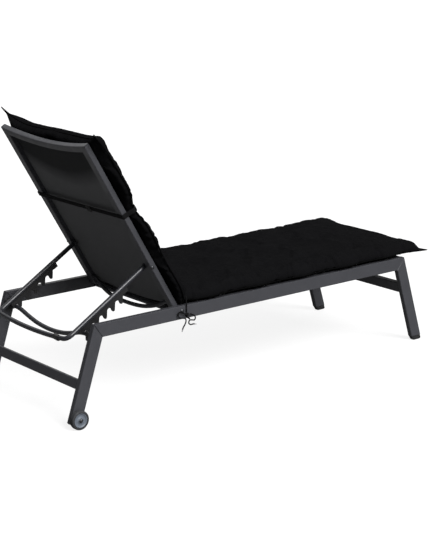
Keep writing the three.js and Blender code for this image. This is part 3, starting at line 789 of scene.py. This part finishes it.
def pad_layout():
    """The pad before it swells, as grids of the top and the underside that share their rim."""
    rows = int(round((PAD_UP + PAD_DOWN) / CELL)) + 1
    columns = int(round(2 * EDGE_AT / CELL)) + 1
    s = np.linspace(-PAD_UP, PAD_DOWN, rows)
    s[np.argmin(np.abs(s))] = 0
    S, B = np.meshgrid(s, np.linspace(-1, 1, columns), indexing="ij")
    to_top, to_foot = S + PAD_UP, PAD_DOWN - S
    near, far = np.clip(-B, 0, 1), np.clip(B, 0, 1)

    # outline: waves between the tufts, the strap's waist and the drawn-out corners
    half = PAD_HALF + 4 * np.cos(2 * math.pi * (S - TUFT_ROWS[3] - ROW_PITCH / 2) / ROW_PITCH)
    half = half - 26 * bell(S - STRAP_U, 42) - 9 * bell(S, 34)
    inside = half * (1 - np.abs(B))
    half = half + 7 * bell(to_top, 50) + 6 * bell(to_foot, 60)
    head_ear = 48 * near ** 7 + 68 * far ** 7
    foot_ear = 17 * near ** 6 + 18 * far ** 6
    U = S - head_ear * bell(to_top, 62) + foot_ear * bell(to_foot, 70)
    U = U - 15 * bell(to_top - CELL, 10) * (to_top > 1) * (1 - np.abs(B) ** 8)
    V = B * half - 42 * bell(to_top, 95) * far ** 2 + 22 * bell(to_top, 24) * far ** 9

    # stuffing: its outline has round corners, and outside it only the ear's two layers are left
    rounding = np.where(S < 0, HEAD_ROUNDING, FOOT_ROUNDING)
    from_end = np.minimum(to_top, to_foot)
    a = np.clip(1 - from_end / rounding, 0, None)
    c = np.clip(1 - inside / SIDE_ROUNDING, 0, None)
    fullness = np.clip(1 - np.clip(np.hypot(a, c), 0, 1) ** 2.6, 0, 1) ** 0.5
    crown = np.interp(S, *zip(*CROWN))
    seam = np.interp(S, *zip(*SEAM))
    seam = seam - 22 * bell(to_top, 45) * near ** 6 - 4 * bell(to_top, 45) * far ** 7
    top = seam + np.maximum(EAR_SKIN, (crown - seam) * fullness)
    undercut = 22 * np.clip(1 - to_foot / FOOT_UNDERCUT, 0, 1) ** 1.5
    low = seam - np.maximum(EAR_SKIN, seam * fullness)
    low = np.maximum(low, np.minimum(undercut, seam - EAR_SKIN))
    rim = (np.abs(B) > 0.9999) | (from_end < 1e-6)
    top, low = np.where(rim, seam, top), np.where(rim, seam, low)
    for row, y in TUFTS:
        depth = 23 * np.exp(-(np.hypot(S - row, V - y) / 26))
        top = top - np.minimum(depth, np.clip(top - 22, 0, None))
    limit = np.abs(S) / FOLD_RUN + 5
    top = np.minimum(top, limit)
    low = np.minimum(low, np.maximum(top - 3, 0))
    top = np.where(rim, np.minimum(seam, limit * 0.8), top)
    return S, B, U, V, top, low, rim


def folded(u, v, w):
    """Lays pad coordinates on the seat and the backrest, which meet on the fold's bisector."""
    seat = np.stack([FOLD[0] + u, v, FOLD[1] + w], axis=-1)
    c, s = math.cos(BACK_TURN), math.sin(BACK_TURN)
    along, front = FOLD_ALONG - u, HALF_DEPTH + 1 + w
    back = np.stack([HINGE[0] - along * c + front * s, v, HINGE[1] + along * s + front * c], axis=-1)
    share = np.clip(0.5 + u / 2.0, 0, 1)[..., None]
    return seat * share + back * (1 - share)


SWELL_STEPS = 20
SWELL_PRESSURE = 0.9
SWELL_CAP = 6.5                  # furthest that a point may move


def swell(points, faces, held):
    """Inflates a closed cloth, keeping the held points still. Returns its points in millimetres."""
    mesh = closed_mesh("swell", points / 1000, faces)
    obj = add_object("swell", mesh)
    group = obj.vertex_groups.new(name="held")
    group.add([int(i) for i in held], 1.0, "REPLACE")
    cloth = obj.modifiers.new("cloth", "CLOTH")
    settings = cloth.settings
    settings.quality = 5
    settings.mass = 0.3
    settings.tension_stiffness = settings.compression_stiffness = 12
    settings.shear_stiffness = 4
    settings.bending_stiffness = 0.2
    settings.shrink_min = -0.035
    settings.use_pressure = True
    settings.uniform_pressure_force = SWELL_PRESSURE
    settings.vertex_group_mass = "held"
    settings.effector_weights.gravity = 0
    cloth.point_cache.frame_start = 1
    cloth.point_cache.frame_end = SWELL_STEPS
    for step in range(1, SWELL_STEPS + 1):
        scene.frame_set(step)
    graph = bpy.context.evaluated_depsgraph_get()
    result = obj.evaluated_get(graph).to_mesh()
    moved = np.zeros(len(points) * 3, np.float32)
    result.vertices.foreach_get("co", moved)
    obj.evaluated_get(graph).to_mesh_clear()
    bpy.data.objects.remove(obj)
    bpy.data.meshes.remove(mesh)
    scene.frame_set(1)
    shift = moved.reshape(-1, 3) * 1000 - points
    size = np.linalg.norm(shift, axis=1)
    return points + shift * np.minimum(1, SWELL_CAP / np.maximum(size, 1e-6))[:, None]


def settle(points, upper):
    """Keeps the pad on what it rests on, within its thickness and clear of itself at the fold."""
    u, v, w = points.T.copy()
    rest = -5.0 * np.clip(1 - (v / 285) ** 2, 0, 1) * np.where(u > 60, 1, 0)
    w = np.where(upper, np.maximum(w, rest + 2), np.maximum(w, rest))
    limit = np.maximum((np.abs(u) - 0.6) / FOLD_RUN, 0) + 4
    w = np.where(np.abs(u) < 90, np.minimum(w, limit), w)
    return np.stack([u, v, w], axis=-1)


def quads(index):
    corners = (index[:-1, :-1], index[1:, :-1], index[1:, 1:], index[:-1, 1:])
    return np.stack(corners, axis=-1).reshape(-1, 4)


def build_pad():
    """The swollen pad: points, faces, which points are on top, UVs and the top's grid of indices."""
    S, B, U, V, top, low, rim = pad_layout()
    index_top = np.arange(S.size).reshape(S.shape)
    index_low = index_top.copy()
    inner = ~rim
    index_low[inner] = S.size + np.arange(int(inner.sum()))
    points = np.vstack([
        np.stack([U, V, top], axis=-1).reshape(-1, 3),
        np.stack([U, V, low], axis=-1)[inner],
    ])
    faces = np.stack([quads(index_top), quads(index_low)[:, ::-1]], axis=1).reshape(-1, 4).tolist()
    upper = np.arange(len(points)) < S.size
    layout = np.stack([B * 320, S], axis=-1) / 1000
    uv = np.vstack([layout.reshape(-1, 2), layout[inner]])
    held = (np.abs(points[:, 0] - STRAP_U) < 11) | (np.abs(points[:, 0]) < 5)
    held[index_top[rim]] = True
    for row, y in TUFTS:
        held |= np.hypot(points[:, 0] - row, points[:, 1] - y) < 8
    points = swell(points, faces, np.nonzero(held)[0])
    return settle(points, upper), faces, upper, uv, index_top


pad_points, pad_faces, pad_upper, pad_uv, pad_index = build_pad()


def subdivided(points, faces, uv):
    """One round of smooth subdivision of the pad, in pad coordinates."""
    mesh = bpy.data.meshes.new("pad_base")
    mesh.from_pydata([tuple(p) for p in points], [], faces)
    lay_cloth(mesh, uv)
    side = mesh.attributes.new("upper", "FLOAT", "POINT")
    side.data.foreach_set("value", pad_upper.astype(np.float32))
    obj = add_object("pad_base", mesh)
    obj.modifiers.new("subdivision", "SUBSURF").levels = 1
    graph = bpy.context.evaluated_depsgraph_get()
    fine = bpy.data.meshes.new_from_object(obj.evaluated_get(graph), depsgraph=graph)
    bpy.data.objects.remove(obj)
    bpy.data.meshes.remove(mesh)
    return fine


def vectors(mesh, key):
    """The coordinates (co) or normals (normal) of a mesh's points."""
    values = np.zeros(len(mesh.vertices) * 3, np.float32)
    mesh.vertices.foreach_get(key, values)
    return values.reshape(-1, 3).astype(float)


def gathers(draw, place, edge, run, step, length, width, lean, depth, waver=None):
    """Folds that start at a seam: place runs along the seam and edge is the distance from it."""
    press = np.zeros(len(place))
    s = -run[0]
    while s < run[1]:
        reach = draw.uniform(*length)
        breadth = draw.uniform(*width)
        slant = draw.uniform(-lean, lean)
        deep = draw.uniform(*depth)
        centre = place - s - slant * edge
        if waver:
            centre = centre + 6 * np.sin(edge / draw.uniform(*waver))
        fade = np.clip(1 - edge / reach, 0, 1) ** 0.7 * rise(edge, -4, 7)
        press += deep * bell(centre, breadth) * fade
        s += draw.uniform(*step)
    return press


def creases(points):
    """How far each point is pressed in by the seams' gathers and by folds that leave the tufts."""
    u, v, _ = points.T
    draw = random.Random(11)
    press = np.zeros(len(points))
    for side in (-1, 1):
        press += gathers(draw, u, EDGE_AT - side * v, (PAD_UP - 20, PAD_DOWN - 20), (9, 42), (30, 95),
                         (4.5, 11), 0.9, (1, 6), waver=(9, 17))
    for place, end, strength in ((-PAD_UP, -1, 0.35), (PAD_DOWN, 1, 1)):
        press += strength * gathers(draw, v, (place - u) * end, (290, 290), (18, 60), (26, 70),
                                    (4.5, 9), 0.6, (0.8, 3.4))
    for row, y in TUFTS:
        reach = np.hypot(u - row, v - y)
        angle = np.arctan2(v - y, u - row)
        for _ in range(7):
            aim = draw.uniform(-math.pi, math.pi)
            length = draw.uniform(60, 130)
            width = draw.uniform(0.07, 0.16)
            bend = draw.uniform(-0.004, 0.004)
            turn = np.angle(np.exp(1j * (angle - aim - bend * reach)))
            press += 2.4 * bell(turn, width) * rise(reach, 8, 26) * np.clip(1 - reach / length, 0, 1)
    return press


def drape(points):
    """Lets the overhanging foot end hang a little, more at its right-hand corner."""
    u, v, w = points.T.copy()
    overhang = rise(u, 1060, 1290)
    w = w - overhang * (4 + 8 * rise(-v, 40, 320) - 9 * rise(v, 120, 320))
    return np.stack([u, v, w], axis=-1)


pad_mesh = subdivided(pad_points, pad_faces, pad_uv)
fine = vectors(pad_mesh, "co")
fine_upper = np.zeros(len(pad_mesh.vertices), np.float32)
pad_mesh.attributes["upper"].data.foreach_get("value", fine_upper)
away_from_fold = np.where(np.abs(fine[:, 0]) > 30, 1, 0.2)
fine = fine - vectors(pad_mesh, "normal") * (creases(fine) * away_from_fold)[:, None]
fine = drape(settle(fine, fine_upper > 0.5))
laid = folded(*fine.T)
pad_mesh.vertices.foreach_set("co", np.array([spot(*p) for p in laid], np.float32).ravel())
pad_mesh.attributes.remove(pad_mesh.attributes["upper"])
pad_mesh.polygons.foreach_set("use_smooth", [True] * len(pad_mesh.polygons))
pad_mesh.materials.clear()
pad_mesh.materials.append(PAD)
pad_mesh.name = "lounger_pad"
pad_mesh.update()
pad = add_object("lounger_pad", pad_mesh)
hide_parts("seat_pad", "back_pad")
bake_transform(pad)


SEAM_RADII = (2.6, 2.2)
RIM_LENGTH = 5.2                 # metres, once round the pad


def seam_cord():
    """The sewn edge of the cover, as a thin rolled lip all round the seam; its darker cloth is painted
    shade for the gap at the seam.
    """
    path = folded(*drape(pad_points[rim_of(pad_index)]).T)
    sides = 8
    points = []
    for p, t in zip(path, unit_tangents(path)):
        n = np.cross(t, (0.3, 0, 1))
        n /= np.linalg.norm(n)
        m = np.cross(n, t)
        for j in range(sides):
            a = 2 * math.pi * j / sides
            out = SEAM_RADII[0] * math.cos(a) * n + SEAM_RADII[1] * math.sin(a) * m
            points.append(spot(*(p + out)))
    faces = grid_faces(len(path), sides, wrap=True, loop=True)
    run = np.linspace(0, RIM_LENGTH, len(path))
    layout = [(0.01 * j / sides, s) for s in run for j in range(sides)]
    obj = piece("pad_seam", points, faces, "pad_fabric", uv=layout, sharp=80, material=PIPING_PAINTED_SHADE)
    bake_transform(obj)


seam_cord()


def tufts():
    """Sewn tufts: a small flat knot of yarn in each dimple."""
    tree = KDTree(len(fine))
    for i, p in enumerate(fine):
        if fine_upper[i] > 0.5:
            tree.insert((p[0], p[1], 0), i)
    tree.balance()
    groups = {"frame": [], "backrest": []}
    for row, y in TUFTS:
        _, i, _ = tree.find((row, y, 0))
        groups["frame" if row > 0 else "backrest"].append((row, y, fine[i, 2]))
    rings = ((0.3, 2.6), (3.5, 2.4), (6.2, 1.7), (7.6, 0.4), (7.2, -1.2))  # (radius, height)
    sides = 16
    for body, spots in groups.items():
        points, faces, layout = [], [], []
        for u, v, w in spots:
            base = len(points)
            for radius, height in rings:
                for a in np.arange(sides) * 2 * math.pi / sides:
                    r = radius * (1 + 0.08 * math.cos(5 * a))
                    place = np.array([u + r * math.cos(a), v + r * math.sin(a), w + height])
                    points.append(spot(*folded(*place[:, None])[0]))
                    layout.append((place[1] / 1000, place[0] / 1000))
            faces += grid_faces(len(rings), sides, wrap=True, start=base)
            faces += end_faces(len(rings), sides, start=base)
        piece(f"pad_tufts_{body}", points, faces, "pad_fabric", body, uv=layout)


tufts()

# ---- strap and slider
STRAP_HALF = (                   # (y, front) from the middle of its back to the middle of its front
    (0, -12.6), (262, -12.6), (276, -12.7), (284, -11.6), (286.4, -7), (287, 0), (289, 10), (294, 20),
    (298.5, 32), (296, 44), (284, 51), (262, 53.5), (200, 55), (0, 56.5),
)
STRAP_SECTION = (                # (across the webbing, out of it)
    (-10, 0.3), (-9.6, 0.9), (-5, 1.2), (0, 1.3), (5, 1.2), (9.6, 0.9), (10, 0.3), (9.6, -0.2),
    (0, -0.3), (-9.6, -0.2),
)


def strap():
    """Elastic webbing once round the backrest and the pad, as a closed band."""
    other = [(-y, front) for y, front in reversed(STRAP_HALF[1:-1])]
    outline = other[-1:] + list(STRAP_HALF) + other[:-1]
    corner = np.array(outline, float)
    loop = np.vstack([corner[-2:], corner, corner[:3]])
    steps = 8
    dense = []
    for a, b, c, d in zip(loop[:-3], loop[1:-2], loop[2:-1], loop[3:]):
        for t in np.linspace(0, 1, steps, endpoint=False):
            bend, twist = 2 * a - 5 * b + 4 * c - d, 3 * b - a - 3 * c + d
            dense.append(0.5 * (2 * b + (c - a) * t + bend * t * t + twist * t ** 3))
    path = np.array(dense)[steps:steps * (1 + len(outline))]
    tangent = unit_tangents(path)
    outward = np.stack([tangent[:, 1], -tangent[:, 0]], axis=1)
    run = np.concatenate([[0], np.cumsum(np.linalg.norm(np.diff(path, axis=0), axis=1))])
    points, layout = [], []
    for (y, f), n, s in zip(path, outward, run):
        for shift, lift in STRAP_SECTION:
            points.append(spot(*on_back(STRAP_AT + shift, y + n[0] * lift, f + n[1] * lift)))
            layout.append((shift / 1000, s / 1000))
    faces = grid_faces(len(path), len(STRAP_SECTION), wrap=True, loop=True)
    piece("pad_strap_band", points, faces, "strap", "backrest", ["pad_strap"], uv=layout, sharp=70)


strap()


def rounded_block(low, high, radius):
    """A block with rounded edges, its corners given in (along, y, front) of the backrest."""
    work = bmesh.new()
    bmesh.ops.create_cube(work, size=1)
    for v in work.verts:
        v.co = Vector((low + high) / 2 + (high - low) * np.array(v.co))
    bmesh.ops.bevel(work, geom=list(work.edges), offset=radius, segments=3, affect="EDGES", profile=0.5)
    points = [spot(*on_back(*v.co)) for v in work.verts]
    faces = [tuple(v.index for v in f.verts) for f in work.faces]
    work.free()
    return points, faces


def slider():
    """A two-slot slider threaded on the strap."""
    middle = np.array([STRAP_AT - 3, -65, 0])
    bars = (
        ((-14, -13, -17.2), (-10.6, 13, -14.2)), ((10.6, -13, -17.2), (14, 13, -14.2)),
        ((-14, -13, -17.2), (14, -9.5, -14.2)), ((-14, 9.5, -17.2), (14, 13, -14.2)),
        ((-12, -2, -16.9), (12, 2, -14.4)),
    )
    points, faces = [], []
    for low, high in bars:
        more, sides = rounded_block(middle + low, middle + high, 1.0)
        faces += [tuple(i + len(points) for i in side) for side in sides]
        points += more
    piece("strap_slider_moulded", points, faces, "cap_plastic", "backrest", ["strap_slider"])


slider()

# ---- pad tie
# It is on the right rail; the routes are given for the left side and mirrored.
TIE_X = 409.5
KNOT_Z = 336
KNOT_DEPTH = 5
CORD_RADIUS = 2.5
STRAND_Y = HALF_WIDTH + CORD_RADIUS + GAP
KNOT_Y = HALF_WIDTH + GAP + KNOT_DEPTH
BOW_Y = KNOT_Y + 2.7
TIE_ROUTES = {                   # where a stretch is measured from, and its offsets from there
    "outer_strand": ((TIE_X, STRAND_Y, 0), (
        (0, 1, 402), (-1, 0.4, 392), (0, 0, 376), (0.5, 0, 360), (0, 0.5, 343.5),
    )),
    "inner_strand": ((TIE_X, STRAND_Y, 0), (
        (1, 0.3, 328), (5, 0.5, 322), (12, 0.3, 316.5), (18, -5.8, 314.2), (21, -14.8, 314.2),
        (22, -22.8, 314.4), (22, -28.8, 319), (22, -28.8, 330), (22, -28.8, 350), (22, -28.8, 368),
    )),
    "rear_bow": ((TIE_X, BOW_Y, KNOT_Z), (
        (-8.8, 0, 1), (-18, 1, 8), (-29, 1, 15), (-40, 0, 12), (-42, -1, 1), (-34, 0, -8),
        (-21, 1, -11), (-10, 1, -15), (-7, 0, -26), (-12, -1, -38), (-20, -2, -50), (-25, -1, -64),
    )),
    "front_bow": ((TIE_X, BOW_Y, KNOT_Z), (
        (8.8, 0, 0), (18, 1, -2), (29, 1, -8), (37, 0, -18), (33, 0, -27), (21, 1, -25),
        (9, 1, -24), (6, 0, -35), (14, 0, -42), (26, 0, -42), (40, 0, -44),
    )),
}
TIE_ENDS = {"outer_strand": "knot", "inner_strand": "object", "rear_bow": "bare", "front_bow": "bare"}
TIP_FACES = 61                   # pale faces at the end of a bare tail


def tie():
    """The knot and the four stretches of cord that meet at it."""
    knot_points = []
    rings, sides = 15, 20
    for i in range(rings):
        tilt = math.pi * i / (rings - 1)
        for j in range(sides):
            a = 2 * math.pi * j / sides
            ridge = 1 + 0.10 * math.cos(3 * a + 4 * tilt)
            r = max(math.sin(tilt), 0.03) * ridge
            knot_points.append(spot(
                TIE_X + 8 * r * math.cos(a),
                -KNOT_Y - KNOT_DEPTH * 0.98 * math.cos(tilt),
                KNOT_Z + 6.5 * r * math.sin(a),
            ))
    knot_faces = grid_faces(rings, sides, wrap=True) + end_faces(rings, sides)
    layout = [(p[0], p[2]) for p in knot_points]
    knot = piece("tie_bow_knot", knot_points, knot_faces, "strap", "frame", ["tie_knot_right"],
                 uv=layout)
    for name, (base, offsets) in TIE_ROUTES.items():
        path = smooth_path([(x, -y, z) for x, y, z in np.add(base, offsets)], 72)
        obj = tube(f"tie_{name}_cord", path, CORD_RADIUS, "strap", "frame", [f"tie_{name}_right"],
                   sides=12, uv=True)
        if TIE_ENDS[name] == "bare":
            obj.data.materials.append(CORD_TIP)
            for face in obj.data.polygons[-TIP_FACES:]:
                face.material_index = 1


tie()

# ---- floor and light
FLOOR_SIZE = 90
FLOOR_GLOW = 0.82


def floor():
    """Pale paper; the light it gives off is seen by the camera only and lights nothing."""
    mesh = bpy.data.meshes.new("floor")
    corners = [(x * FLOOR_SIZE, y * FLOOR_SIZE, 0) for x, y in ((-1, -1), (1, -1), (1, 1), (-1, 1))]
    mesh.from_pydata(corners, [], [(0, 1, 2, 3)])
    m = Shader("floor_paper", 0.9, Specular_IOR_Level=0.05)
    m.set(m.bsdf, Base_Color=m.mix(m.noise(m.place(), 3, 3), (0.17, 0.17, 0.17), (0.19, 0.19, 0.19)))
    glow = m.maths("MULTIPLY", m.seen(), FLOOR_GLOW)
    m.set(m.bsdf, Emission_Color=(1, 1, 1, 1), Emission_Strength=glow)
    mesh.materials.append(m.material)
    obj = add_object("floor", mesh)
    obj.location.z = -0.0006


def world_light():
    """Soft light that grows from the horizon to the zenith, in front of a plain pale backdrop."""
    world = bpy.data.worlds.new("studio")
    world.use_nodes = True
    n = Nodes(world.node_tree)
    direction = n.out("ShaderNodeTexCoord", "Generated")
    height = n.out("ShaderNodeSeparateXYZ", "Z", Vector=direction)
    sky = n.ramp(height, [(0.1, (0.03, 0.03, 0.033)), (0.95, 0.34)])
    n.set(n.tree.nodes["Background"], Color=n.mix(n.seen(), sky, (0.93, 0.93, 0.93)))
    scene.world = world


def sun(name, azimuth, elevation, strength, spread):
    """A soft sun; azimuth 0 comes from -Y and 90 from +X."""
    data = bpy.data.lights.new(name, "SUN")
    data.energy = strength
    data.angle = math.radians(spread)
    obj = add_object(name, data)
    a, e = math.radians(azimuth), math.radians(elevation)
    aim = Vector((math.sin(a) * math.cos(e), -math.cos(a) * math.cos(e), math.sin(e)))
    obj.rotation_mode = "QUATERNION"
    obj.rotation_quaternion = aim.to_track_quat("Z", "Y")


floor()
world_light()
sun("key", 6, 40, 5.2, 36)
sun("top", 0, 80, 0.8, 90)
sun("fill", 150, 25, 0.8, 70)
scene.view_settings.view_transform = "Standard"
